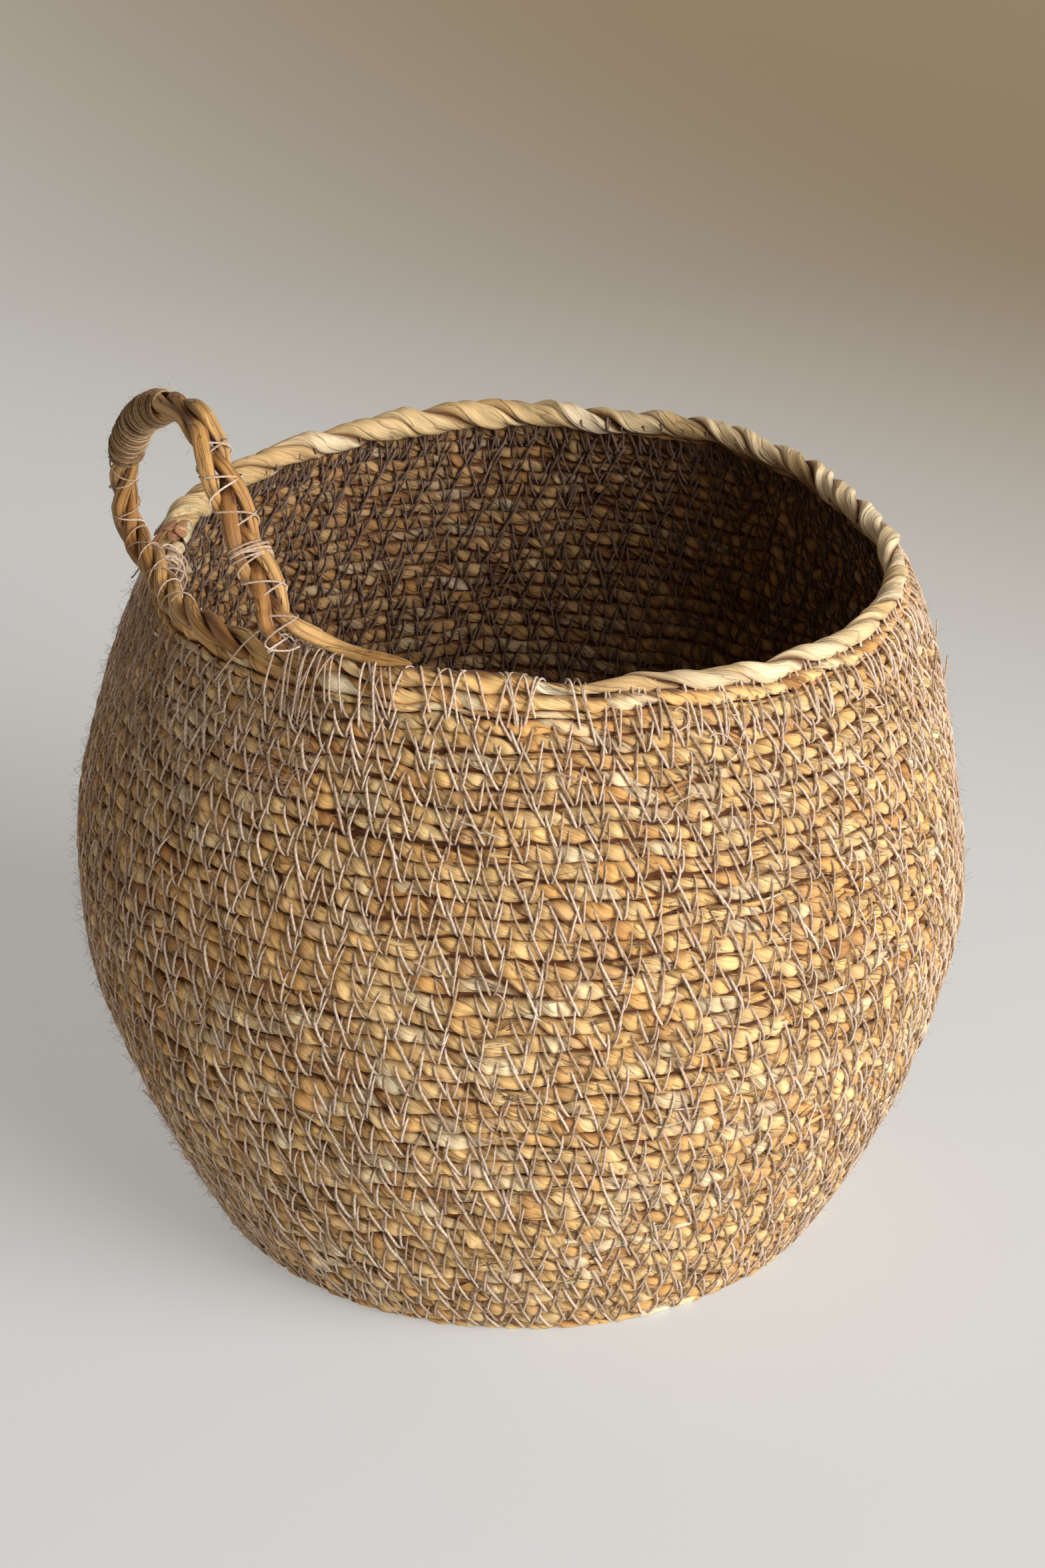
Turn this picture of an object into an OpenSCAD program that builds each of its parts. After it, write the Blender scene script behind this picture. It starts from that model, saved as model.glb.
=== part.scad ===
// Pot-bellied storage basket of coiled seagrass rope, with a thicker twisted rope round
// its rim and one rope handle sewn on at one side.
// The basket stands on z = 0, centred on the Z axis. Azimuths are counted from +X
// towards +Y, so the handle, at 210 degrees, is on the -X side.

/* [Basket] */
// Widest diameter, at the belly
belly_d = 420; // [380:10:460]
// Height of the widest ring above the floor
belly_z = 175; // [150:5:190]
// Diameter of the wall where it meets the floor
foot_d = 304; // [290:2:320]
// Diameter of the wall just under the rim rope
neck_d = 352; // [342:2:360]
// Height of the top of the rim rope
rim_top_z = 334; // [310:1:350]

/* [Coil] */
// Spacing of the turns of coil rope at the foot of the wall
foot_pitch = 10; // [8:0.1:11]
// Spacing of the turns at the neck, where the rope is finer
neck_pitch = 7.2; // [6:0.1:8]
// Thickness of the wall, which is the thickness of the coil rope
coil_t = 8; // [6:0.5:9]
// Depth of the groove between two turns
groove = 1.4; // [0.5:0.1:2]
// Number of turns of coil rope in the flat base, round its centre button
base_turns = 15; // [12:1:20]

/* [Rim] */
// Diameter of the rim rope's centreline
rim_d = 332; // [326:1:336]
// Radius of each of the two strands twisted into the rim rope
rim_strand_r = 3.4; // [3:0.1:3.5]
// Number of full twists of the rim rope round the rim
rim_twists = 14; // [10:1:16]
// Number of stitches that hold the rim rope down
rim_stitches = 96; // [60:4:120]

/* [Handle] */
// Azimuth of the middle of the handle
handle_azimuth = 210; // [200:1:225]
// Distance of the handle's plane from the basket's axis
handle_plane_r = 158; // [156:1:160]
// Lean of the handle away from the basket, in degrees
handle_lean = 4; // [0:1:8]
// Radius of each of the three strands of the handle
handle_strand_r = 3; // [2.5:0.1:3.2]
// Number of full twists of the handle's three strands
handle_twists = 5; // [3:1:6]

/* [Thread] */
// Thickness of the jute sewing thread
thread_d = 1.1; // [0.8:0.1:1.4]

/* [Hidden] */
$fn = 48;

// Seagrass and thread colours
GRASS = [0.74, 0.58, 0.37];
GRASS_DARK = [0.62, 0.46, 0.27];
GRASS_PALE = [0.84, 0.73, 0.53];
JUTE = [0.70, 0.60, 0.48];

// Room left between two strands that lie side by side
gap = 0.2;

// Rim rope: two strands on a common centreline
rim_rope_r = 2 * rim_strand_r + gap / 2;
rim_z = rim_top_z - rim_rope_r;
rim_r = rim_d / 2;
wall_top_z = rim_z - rim_rope_r - gap;

// Lashings: a band of thread round the rim rope at each foot of the handle
lashing_t = 0.8;
lashing_angle = 7;
foot_azimuths = [186, 236];

// Centreline of the handle in its own plane, from the rear foot to the front foot:
// [distance along the plane, height above the rim rope's centreline]
handle_path = [
    [-82, 13], [-87, 32], [-78, 56], [-56, 78], [-28, 92], [-5, 97],
    [14, 88], [30, 70], [46, 50], [62, 33], [76, 15]
];
handle_bundle_r = 2 * (handle_strand_r + gap / 2) / sqrt(3);
handle_outer_r = handle_bundle_r + handle_strand_r;

// ---------- Curves and swept tubes ----------

// Outer radius of the wall at a height. The curve's power makes the belly a little flatter
// than a circle and its ends a little straighter.
belly_power = 1.8;
function wall_r(z) =
    let (
        end_d = z < belly_z ? foot_d : neck_d,
        reach = z < belly_z ? (belly_z - z) / belly_z : (z - belly_z) / (wall_top_z - belly_z)
    )
    belly_d / 2 - (belly_d - end_d) / 2 * pow(reach, belly_power);

// Heights of the grooves between turns, which get closer from the foot to the neck
function turn_pitch(z) = foot_pitch + (neck_pitch - foot_pitch) * z / wall_top_z;
function turn_rise(z) = turn_pitch(z) / norm([1, wall_r(z + 1) - wall_r(z)]);
stepped = [for (z = 0; z < wall_top_z - neck_pitch / 2; z = z + turn_rise(z)) z];
stepped_top = stepped[len(stepped) - 1] + turn_rise(stepped[len(stepped) - 1]);
groove_z = [for (z = concat(stepped, [stepped_top])) z * wall_top_z / stepped_top];
wall_turns = len(stepped);

// Point at an azimuth, radius and height
function at(azimuth, r, z) = [r * cos(azimuth), r * sin(azimuth), z];

function unit(v) = v / norm(v);

// Point at a fraction (0 to 1) of a smooth curve through points
function along(points, fraction) =
    let (
        last = len(points) - 1,
        place = min(fraction, 1) * last,
        i = min(floor(place), last - 1),
        t = place - i,
        p0 = points[max(i - 1, 0)],
        p1 = points[i],
        p2 = points[i + 1],
        p3 = points[min(i + 2, last)]
    )
    0.5 * (2 * p1 + (p2 - p0) * t + (2 * p0 - 5 * p1 + 4 * p2 - p3) * t * t
        + (3 * p1 - p0 - 3 * p2 + p3) * t * t * t);

// Direction of a list of points at one of them
function heading(points, i, closed) =
    let (n = len(points))
    closed
        ? unit(points[(i + 1) % n] - points[(i + n - 1) % n])
        : unit(points[min(i + 1, n - 1)] - points[max(i - 1, 0)]);

// A tube along points, with a radius at each of them. up is a direction that the tube
// never runs along, and keeps its rings from turning.
module tube(points, radii, up = [0, 0, 1], sides = 8, closed = false) {
    n = len(points);
    rings = [
        for (i = [0 : n - 1])
            let (
                ahead = heading(points, i, closed),
                across = unit(cross(up, ahead)),
                over = cross(ahead, across)
            )
            for (k = [0 : sides - 1])
                let (a = 360 * k / sides)
                points[i] + radii[i] * (cos(a) * across + sin(a) * over)
    ];
    walls = [
        for (i = [0 : closed ? n - 1 : n - 2], k = [0 : sides - 1])
            let (
                j = (i + 1) % n,
                m = (k + 1) % sides
            )
            each [
                [i * sides + k, j * sides + k, j * sides + m],
                [i * sides + k, j * sides + m, i * sides + m]
            ]
    ];
    ends = closed ? [] : [
        [for (k = [0 : sides - 1]) k],
        [for (k = [sides - 1 : -1 : 0]) (n - 1) * sides + k]
    ];
    polyhedron(points = rings, faces = concat(walls, ends));
}

// ---------- Coiled wall and base ----------

// The coil rope is spliced from this many lengths, each of four or five turns
wall_lengths = 8;
function first_turn(length) = round((length - 1) * wall_turns / wall_lengths);

// One turn's bulge, from the groove under it to the groove over it
bulge_steps = 4;
function bulge(turn, side) = [
    for (k = [0 : bulge_steps])
        let (
            z = groove_z[turn] + (groove_z[turn + 1] - groove_z[turn]) * k / bulge_steps,
            mid = wall_r(z) - coil_t / 2,
            half = coil_t / 2 - groove * (1 - sin(180 * k / bulge_steps))
        )
        [mid + side * half, z]
];

// A length of coil rope, wound from one turn of the wall up to another. Length 1 is the
// lowest.
module wall_coil(length) {
    turns = [first_turn(length) : first_turn(length + 1) - 1];
    outer = [for (turn = turns) each bulge(turn, 1)];
    inner = [for (turn = turns) each bulge(turn, -1)];
    outline = concat(outer, [for (i = [len(inner) - 1 : -1 : 0]) inner[i]]);
    color(length % 2 == 0 ? GRASS : GRASS_DARK)
        rotate_extrude()
            polygon(outline);
}

// Flat base: turns of coil rope, flattened underneath, inside the lowest turn of the wall
module base_coil() {
    edge_r = wall_r(0) - coil_t + groove - gap;
    turn_w = edge_r / base_turns;
    tops = [
        for (turn = [0 : base_turns - 1], k = [0 : bulge_steps])
            [(turn + k / bulge_steps) * turn_w, coil_t - groove * (1 - sin(180 * k / bulge_steps))]
    ];
    color(GRASS)
        rotate_extrude()
            polygon(concat([[edge_r, 0], [0, 0]], tops));
}

// ---------- Rim ----------

// Points of one strand of the twisted rim rope, starting at a phase
function rim_strand_points(phase) =
    let (steps = rim_twists * 8)
    [
        for (i = [0 : steps - 1])
            let (
                azimuth = 360 * i / steps,
                turn = phase - 360 * rim_twists * i / steps
            )
            at(
                azimuth,
                rim_r + (rim_strand_r + gap / 2) * cos(turn),
                rim_z + (rim_strand_r + gap / 2) * sin(turn)
            )
    ];

module rim_strand(phase) {
    points = rim_strand_points(phase);
    color(GRASS_PALE)
        tube(points, [for (p = points) rim_strand_r], closed = true);
}

module rim_strand_a() {
    rim_strand(0);
}

module rim_strand_b() {
    rim_strand(180);
}

// Zigzag thread over the outer side of the neck's top turns, under the rim rope
module rim_stitching() {
    stitch_h = 2.2 * neck_pitch;
    points = [
        for (i = [0 : 2 * rim_stitches - 1])
            let (
                top = i % 2 == 0,
                z = wall_top_z - (top ? thread_d : stitch_h)
            )
            at(180 * i / rim_stitches, wall_r(z) + thread_d, z)
    ];
    color(JUTE)
        tube(points, [for (p = points) thread_d / 2], sides = 5, closed = true);
}

// Band of thread round the rim rope at a foot of the handle
module foot_lashing(azimuth) {
    color(JUTE)
        rotate([0, 0, azimuth - lashing_angle / 2])
            rotate_extrude(angle = lashing_angle)
                translate([rim_r, rim_z])
                    difference() {
                        circle(rim_rope_r + lashing_t + gap);
                        circle(rim_rope_r + gap);
                    }
}

module rear_foot_lashing() {
    foot_lashing(foot_azimuths[0]);
}

module front_foot_lashing() {
    foot_lashing(foot_azimuths[1]);
}

// A strand laid along the rim rope and narrowed to a point. It runs from one azimuth to
// another, at a distance from the rim rope's centreline. lay is its angle round the rim
// rope, from the top towards the outside, at its start and at its end.
module laid_strand(from_azimuth, to_azimuth, reach, lay, strand_r) {
    steps = 8;
    points = [
        for (i = [0 : steps])
            let (
                share = i / steps,
                angle = lay[0] + (lay[1] - lay[0]) * share
            )
            at(
                from_azimuth + (to_azimuth - from_azimuth) * share,
                rim_r + reach * sin(angle),
                rim_z + reach * cos(angle)
            )
    ];
    color(GRASS_PALE)
        tube(points, [for (i = [0 : steps]) strand_r * sqrt(1 - i / (steps + 0.5))]);
}

// Pointed ends of two of the handle's strands, bound down on the outer shoulder of the
// rim rope under the front foot
module front_foot_tips() {
    tip_r = 0.8 * handle_strand_r;
    reach = rim_rope_r + lashing_t + 2 * gap + tip_r;
    lays = [38, 67];
    for (tip = [0, 1])
        laid_strand(
            foot_azimuths[1] - 3 - 2 * tip,
            foot_azimuths[1] + 3 - 2 * tip,
            reach,
            [lays[tip], lays[tip]],
            tip_r
        );
}

// Tail of the handle's third strand, laid along the top of the rim rope and sewn down
module rim_splice_tail() {
    laid_strand(
        foot_azimuths[1] + 5,
        foot_azimuths[1] + 15,
        rim_rope_r + handle_strand_r + gap,
        [-6, -16],
        handle_strand_r
    );
}

// ---------- Handle ----------

// Point of the handle's own plane in the basket's frame
function in_handle_plane(p) =
    let (
        out = at(handle_azimuth, 1, 0),
        chord = at(handle_azimuth + 90, 1, 0),
        up = cos(handle_lean) * [0, 0, 1] + sin(handle_lean) * out
    )
    handle_plane_r * out + [0, 0, rim_z] + p[0] * chord + p[1] * up;

handle_steps = 64;
handle_middle = [
    for (i = [0 : handle_steps]) in_handle_plane(along(handle_path, i / handle_steps))
];
handle_side = cross(
    in_handle_plane([0, 1]) - in_handle_plane([0, 0]),
    in_handle_plane([1, 0]) - in_handle_plane([0, 0])
);

// The strands narrow to points over the last steps at each foot
taper_steps = 6;
function taper(i) = 0.35 + 0.65 * min(1, min(i, handle_steps - i) / taper_steps);

// Points that wind round the handle's centreline at a radius, from one step to another
function wound(radius, phase, twists, from_step, to_step, per_step) = [
    for (k = [0 : (to_step - from_step) * per_step])
        let (
            place = (from_step + k / per_step) / handle_steps,
            ahead = unit(
                in_handle_plane(along(handle_path, min(place + 0.01, 1)))
                - in_handle_plane(along(handle_path, max(place - 0.01, 0)))
            ),
            over = cross(ahead, handle_side),
            turn = phase + 360 * twists * place
        )
        in_handle_plane(along(handle_path, place))
            + radius * taper(place * handle_steps) * (cos(turn) * handle_side + sin(turn) * over)
];

module handle_strand(phase) {
    points = wound(handle_bundle_r, phase, handle_twists, 0, handle_steps, 1);
    color(GRASS)
        tube(
            points,
            [for (i = [0 : handle_steps]) handle_strand_r * taper(i)],
            up = handle_side
        );
}

module handle_strand_a() {
    handle_strand(0);
}

module handle_strand_b() {
    handle_strand(120);
}

module handle_strand_c() {
    handle_strand(240);
}

// Sleeve of jute wound over the three strands, from the rear leg up to the top
module handle_whipping() {
    sleeve = [for (i = [18 : 2 : 32]) handle_middle[i]];
    bore = [for (i = [16 : 2 : 34]) handle_middle[i]];
    color(JUTE)
        difference() {
            tube(sleeve, [for (p = sleeve) handle_outer_r + 1.4], up = handle_side, sides = 12);
            tube(bore, [for (p = bore) handle_outer_r + 0.4], up = handle_side, sides = 12);
        }
}

// Thread wound in open turns round the front leg
module handle_lacing() {
    points = wound(handle_outer_r + thread_d / 2 + 2 * gap, 0, 36, 38, 57, 4);
    color(JUTE)
        tube(points, [for (p = points) thread_d / 2], up = handle_side, sides = 5);
}

base_coil();
for (length = [1 : wall_lengths])
    wall_coil(length);
rim_strand_a();
rim_strand_b();
rim_stitching();
rear_foot_lashing();
front_foot_lashing();
front_foot_tips();
rim_splice_tail();
handle_strand_a();
handle_strand_b();
handle_strand_c();
handle_whipping();
handle_lacing();
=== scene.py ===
"""Seagrass storage basket: coiled rope, sewn with jute, with a twisted rim and one handle.

Everything is in metres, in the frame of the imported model: the basket stands on z = 0, centred
on the Z axis, and azimuths run from +X towards +Y.
"""

import math

import bpy
import numpy as np
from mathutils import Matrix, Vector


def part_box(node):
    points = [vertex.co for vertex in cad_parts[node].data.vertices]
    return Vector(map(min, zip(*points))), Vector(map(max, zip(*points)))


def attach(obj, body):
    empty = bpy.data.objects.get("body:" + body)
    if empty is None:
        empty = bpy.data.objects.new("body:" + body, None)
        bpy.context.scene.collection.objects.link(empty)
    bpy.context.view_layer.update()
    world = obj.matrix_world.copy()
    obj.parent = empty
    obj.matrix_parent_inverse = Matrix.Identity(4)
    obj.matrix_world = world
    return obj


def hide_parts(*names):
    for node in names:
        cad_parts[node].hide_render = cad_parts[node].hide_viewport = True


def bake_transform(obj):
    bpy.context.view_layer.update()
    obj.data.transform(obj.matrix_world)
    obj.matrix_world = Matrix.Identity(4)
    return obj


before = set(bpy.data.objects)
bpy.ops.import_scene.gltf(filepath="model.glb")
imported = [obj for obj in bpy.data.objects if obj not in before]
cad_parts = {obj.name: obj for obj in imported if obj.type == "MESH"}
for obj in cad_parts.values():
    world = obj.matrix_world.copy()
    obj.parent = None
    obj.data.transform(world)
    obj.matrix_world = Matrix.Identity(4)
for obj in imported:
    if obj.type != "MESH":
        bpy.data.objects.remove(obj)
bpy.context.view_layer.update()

RNG = np.random.default_rng(20)
TAU = 2 * math.pi

# ---------- Sizes ----------

WALL_NODES = sorted(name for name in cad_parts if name.startswith("wall_coil_"))
TOP_NODE = WALL_NODES[-1]

BELLY_R = max(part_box(name)[1][0] for name in WALL_NODES)
BELLY_Z = 0.175
FOOT_R = 0.152
NECK_R = 0.176
BELLY_POWER = 1.8
WALL_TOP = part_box(TOP_NODE)[1][2]
WALL_T = 0.008
FOOT_PITCH = 0.010
NECK_PITCH = 0.0072
BASE_TURNS = 15
BASE_EDGE_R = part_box("base_coil")[1][0]

RIM_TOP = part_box("rim_strand_a")[1][2]
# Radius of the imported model's rim rope, which is the same all round. RIM_Z is its middle.
PACKED_RIM_R = 0.0069
RIM_Z = RIM_TOP - PACKED_RIM_R
RIM_R = 0.166
RIM_TWISTS = 17
# Radius of the pale rim rope at its thin end, in front, and at its thick end, behind the handle
RIM_THIN_R = 0.0043
RIM_THICK_R = 0.0066
RIM_TURN_R = 0.0038
# The thick rim rope is left out between the feet of the handle and a little way past the front one
THICK_RIM_START = math.radians(279)
THICK_RIM_END = math.radians(360 + 187)
# Where the turn under the rim rope runs out
LOWER_TURN_END = math.radians(75)

THREAD_R = 0.00057
# The basket's weight presses its lowest threads flat against the floor, and its rope rests on them
FLOOR_GAP = 0.0001
ROPE_FLOOR_GAP = 0.0006

HANDLE_AZIMUTH = math.radians(210)
HANDLE_PLANE_R = 0.158
HANDLE_LEAN = math.radians(4)
STRAND_R = 0.003
REAR_FOOT = math.radians(186)
FRONT_FOOT = math.radians(236)
# Centreline of the handle in its own plane: along the plane, and above the rim
HANDLE_PATH = np.array([
    (-0.082, 0.013), (-0.087, 0.032), (-0.078, 0.056), (-0.056, 0.078), (-0.028, 0.092), (-0.005, 0.097),
    (0.014, 0.088), (0.030, 0.070), (0.046, 0.050), (0.062, 0.033), (0.076, 0.015),
])

# ---------- Camera ----------

CAMERA_PLACE = (0, -1.5708, 0.9664)
CAMERA_TILT = math.radians(64.215)


def make_camera():
    data = bpy.data.cameras.new("camera")
    data.lens = 84
    data.sensor_width = 36
    camera = bpy.data.objects.new("camera", data)
    camera.location = CAMERA_PLACE
    camera.rotation_euler = (CAMERA_TILT, 0, 0)
    bpy.context.scene.collection.objects.link(camera)
    bpy.context.scene.camera = camera


# ---------- Small maths ----------


def unit(vectors):
    return vectors / np.linalg.norm(vectors, axis=-1, keepdims=True)


def smooth(low, high, value):
    """0 below low, 1 above high, and a smooth step between them."""
    share = np.clip((value - low) / (high - low), 0, 1)
    return share * share * (3 - 2 * share)


def wander(distance, spacing):
    """Smooth random values between -1 and 1 along a distance, with a new one every spacing."""
    knots = RNG.uniform(-1, 1, int(np.max(distance) / spacing) + 3)
    place = distance / spacing
    knot = np.floor(place).astype(int)
    share = smooth(0, 1, place - knot)
    return knots[knot] * (1 - share) + knots[knot + 1] * share


def at(azimuth, radius, z):
    azimuth, radius, z = np.broadcast_arrays(azimuth, radius, z)
    return np.stack([radius * np.cos(azimuth), radius * np.sin(azimuth), z], axis=-1)


def outward(azimuth):
    return at(azimuth, 1.0, 0.0)


def straight_up(points):
    return np.broadcast_to([0.0, 0.0, 1.0], points.shape)


def each(count, low, high):
    """A random value between low and high for each of a number of lines, as a column."""
    return RNG.uniform(low, high, (count, 1))


def near(count, middle, spread):
    """The same, with most values near the middle one."""
    return RNG.normal(middle, spread, (count, 1))


def lengths(points):
    """Distance along a line of points, from its first one."""
    steps = np.linalg.norm(np.diff(points, axis=0), axis=1)
    return np.concatenate([[0], np.cumsum(steps)])


def curve_through(points, spacing):
    """Evenly spaced points on a smooth curve through points."""
    points = np.array(points, float)
    ends = np.vstack([points[:1], points, points[-1:]])
    share = np.linspace(0, 1, 40, endpoint=False)[:, None]
    fine = []
    for p0, p1, p2, p3 in zip(ends, ends[1:], ends[2:], ends[3:]):
        cubic = (3 * (p1 - p2) + p3 - p0) * share**3 + (2 * p0 - 5 * p1 + 4 * p2 - p3) * share**2
        fine.append(0.5 * (2 * p1 + (p2 - p0) * share + cubic))
    fine = np.vstack(fine + [points[-1:]])
    run = lengths(fine)
    places = np.linspace(0, run[-1], int(run[-1] / spacing) + 2)
    return np.stack([np.interp(places, run, fine[:, k]) for k in range(points.shape[1])], axis=-1)


def linear(*srgb):
    """A colour or a list of them, as they look on a screen, as the light values that shaders use."""
    srgb = np.array(srgb)
    return np.where(srgb < 0.04045, srgb / 12.92, ((srgb + 0.055) / 1.055) ** 2.4)


# ---------- Shape of the basket ----------


def wall_radius(z):
    """Outer radius of the wall at a height."""
    below = z < BELLY_Z
    end_r = np.where(below, FOOT_R, NECK_R)
    span = np.where(below, BELLY_Z, WALL_TOP - BELLY_Z)
    reach = np.clip(np.abs(BELLY_Z - z) / span, 0, 1.15)
    return BELLY_R - (BELLY_R - end_r) * reach**BELLY_POWER


def wall_slope(z):
    step = 0.0005
    return (wall_radius(z + step) - wall_radius(z - step)) / (2 * step)


def groove_heights():
    """Heights of the grooves between the turns, which get closer from the foot to the neck."""
    z = 0.0
    heights = []
    while z < WALL_TOP - NECK_PITCH / 2:
        heights.append(z)
        pitch = FOOT_PITCH + (NECK_PITCH - FOOT_PITCH) * z / WALL_TOP
        z += pitch / math.hypot(1, wall_slope(z))
    return np.array(heights + [z]) * WALL_TOP / z


GROOVES = groove_heights()
TURNS = len(GROOVES) - 1
WALL_START = math.radians(60)


def groove(turn):
    """Height of the wall at a number of turns from the floor, level below 0 and above the last."""
    return np.interp(turn, np.arange(TURNS + 1), GROOVES)


# The rim was pulled a little out of round and out of level by hand. Each line is
# (waves round the basket, size, azimuth of the first crest in degrees).
RIM_PULL = [(1, 0.0045, 50), (2, 0.0020, -50), (3, 0.0025, -80), (4, 0.0014, -90)]
RIM_LIFT = [(1, 0.0030, 115), (2, 0.0036, 152), (3, 0.0010, 100)]
# The turns wave up and down, and in and out, as they go round. Each line is
# (waves round the basket, size, rise in radians per metre, phase).
TURN_WAVES = [
    (5, 0.0009, 31, 0.4),
    (9, 0.0007, -47, 2.1),
    (14, 0.0006, 63, 4.0),
    (23, 0.0006, 90, 1.3),
    (41, 0.0004, -170, 3.9),
]
FOLD_WAVES = [
    (3, 0.0012, 16, 1.0),
    (7, 0.0008, 33, 3.3),
    (12, 0.0006, -52, 5.2),
    (31, 0.0004, 140, 2.2),
]


def waves(terms, azimuth):
    return sum(size * np.cos(count * azimuth - math.radians(crest)) for count, size, crest in terms)


def ripples(terms, azimuth, z):
    return sum(size * np.sin(n * azimuth + rise * z + phase) for n, size, rise, phase in terms)


def by_hand(points):
    """Moves points of the wall and rim as the real basket is uneven: not at the foot, most at the rim."""
    azimuth = np.arctan2(points[..., 1], points[..., 0])
    radius = np.hypot(points[..., 0], points[..., 1])
    z = points[..., 2]
    high = smooth(BELLY_Z, RIM_Z, z)
    off_floor = smooth(0.004, 0.05, z) * smooth(RIM_TOP + 0.03, RIM_Z, z)
    pull = high * waves(RIM_PULL, azimuth) + off_floor * ripples(FOLD_WAVES, azimuth, z)
    lift = high * waves(RIM_LIFT, azimuth) + off_floor * ripples(TURN_WAVES, azimuth, z)
    return at(azimuth, radius + pull, z + lift)


def thick_rim(azimuth):
    """Whether the thick rim rope lies at an azimuth."""
    return (azimuth - THICK_RIM_START) % TAU < THICK_RIM_END - THICK_RIM_START


def rim_rope_r(azimuth):
    """Half the thickness of whatever lies on top of the wall: the thick rope, or an ordinary turn."""
    past = (azimuth - THICK_RIM_START) % TAU
    rope = RIM_THIN_R + (RIM_THICK_R - RIM_THIN_R) * smooth(0.3, math.radians(200), past)
    return np.where(thick_rim(azimuth), rope, RIM_TURN_R)


# ---------- Meshes ----------


class Piece:
    """One Blender object, gathered from many tubes that share a material."""

    def __init__(self, name):
        self.name = name
        self.points = []
        self.tints = []
        self.grains = []
        self.corners = []
        self.sizes = []
        self.count = 0

    def add(self, rings, tints, shift=0.0):
        """Adds tubes. rings is (tubes, steps, sides, 3), and tints is a colour for each of its points."""
        count, steps, sides, _ = rings.shape
        middle = rings.mean(axis=2)
        run = np.zeros((count, steps))
        run[:, 1:] = np.cumsum(np.linalg.norm(np.diff(middle, axis=1), axis=2), axis=1)
        run += np.broadcast_to(shift, (count,))[:, None]
        angle = TAU * np.arange(sides) / sides
        grain = np.empty(rings.shape)
        grain[..., 0] = run[..., None]
        grain[..., 1] = np.cos(angle)
        grain[..., 2] = np.sin(angle)
        self.points.append(rings.reshape(-1, 3))
        self.tints.append(np.broadcast_to(tints, rings.shape).reshape(-1, 3))
        self.grains.append(grain.reshape(-1, 3))

        number = self.count + np.arange(count * steps * sides).reshape(count, steps, sides)
        turned = np.roll(number, -1, axis=2)
        quads = np.stack([number[:, :-1], turned[:, :-1], turned[:, 1:], number[:, 1:]], axis=-1)
        self.corners.append(quads.reshape(-1))
        self.sizes.append(np.full(quads.size // 4, 4))
        for cap in (number[:, 0, ::-1], number[:, -1]):
            self.corners.append(cap.reshape(-1))
            self.sizes.append(np.full(count, sides))
        self.count += rings[..., 0].size

    def build(self, material, body, slot, *nodes):
        points = np.concatenate(self.points)
        points[:, 2] = np.maximum(points[:, 2], FLOOR_GAP)
        corners = np.concatenate(self.corners)
        sizes = np.concatenate(self.sizes)
        mesh = bpy.data.meshes.new(self.name)
        mesh.vertices.add(len(points))
        mesh.vertices.foreach_set("co", points.astype(np.float32).reshape(-1))
        mesh.loops.add(len(corners))
        mesh.loops.foreach_set("vertex_index", corners.astype(np.int32))
        mesh.polygons.add(len(sizes))
        starts = np.concatenate([[0], np.cumsum(sizes)[:-1]])
        mesh.polygons.foreach_set("loop_start", starts.astype(np.int32))
        mesh.polygons.foreach_set("use_smooth", np.ones(len(sizes), bool))
        mesh.update(calc_edges=True)
        mesh.validate()
        tints = np.ones((len(points), 4), np.float32)
        tints[:, :3] = np.concatenate(self.tints)
        tint = mesh.attributes.new("tint", "FLOAT_COLOR", "POINT")
        tint.data.foreach_set("color", tints.reshape(-1))
        grain = mesh.attributes.new("grain", "FLOAT_VECTOR", "POINT")
        grain.data.foreach_set("vector", np.concatenate(self.grains).astype(np.float32).reshape(-1))
        mesh.materials.append(material)
        piece = bpy.data.objects.new(self.name, mesh)
        bpy.context.scene.collection.objects.link(piece)
        if body:
            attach(piece, body)
        if nodes:
            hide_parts(*nodes)
        return piece


def tubes(lines, radii, up, sides=5, flat=1.0):
    """Rings round lines of points (tubes, steps, 3). flat is how thick they are along up, against across."""
    ahead = unit(np.gradient(lines, axis=1))
    across = unit(np.cross(up, ahead))
    over = np.cross(ahead, across)
    angle = TAU * np.arange(sides) / sides
    circle = across[..., None, :] * np.cos(angle)[:, None]
    circle = circle + over[..., None, :] * flat * np.sin(angle)[:, None]
    radii = np.broadcast_to(radii, lines.shape[:2])
    return lines[..., None, :] + circle * radii[..., None, None]


def ply(centre, out, up, half_out, half_up, turn, middle, thick, wide, sides, folds):
    """Rings of one strand of a twisted rope, and each point's place in the rope's section.

    centre, out and up are the rope's middle and the axes of its section, half_out and half_up
    its half sizes, and turn the strand's angle round it. middle, thick and wide are shares of
    the half sizes. folds is (steps, 2): the size and the angle of the strand's own ridges.
    """
    angle = TAU * np.arange(sides) / sides
    # 1 would be a round section, and less is squarer
    boxy = 0.8
    c = np.sign(np.cos(angle)) * np.abs(np.cos(angle)) ** boxy
    s = np.sign(np.sin(angle)) * np.abs(np.sin(angle)) ** boxy
    ridge = 1 + folds[:, :1] * np.cos(3 * angle + folds[:, 1:])
    radial = middle[:, None] + thick[:, None] * c * ridge
    around = wide[:, None] * s * ridge
    cos_turn, sin_turn = np.cos(turn)[:, None], np.sin(turn)[:, None]
    x = radial * cos_turn - around * sin_turn
    y = radial * sin_turn + around * cos_turn
    rings = centre[:, None] + out[:, None] * (half_out[:, None] * x)[..., None]
    rings = rings + up[:, None] * (half_up[:, None] * y)[..., None]
    return rings, x, y


# ---------- Colours ----------

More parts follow.
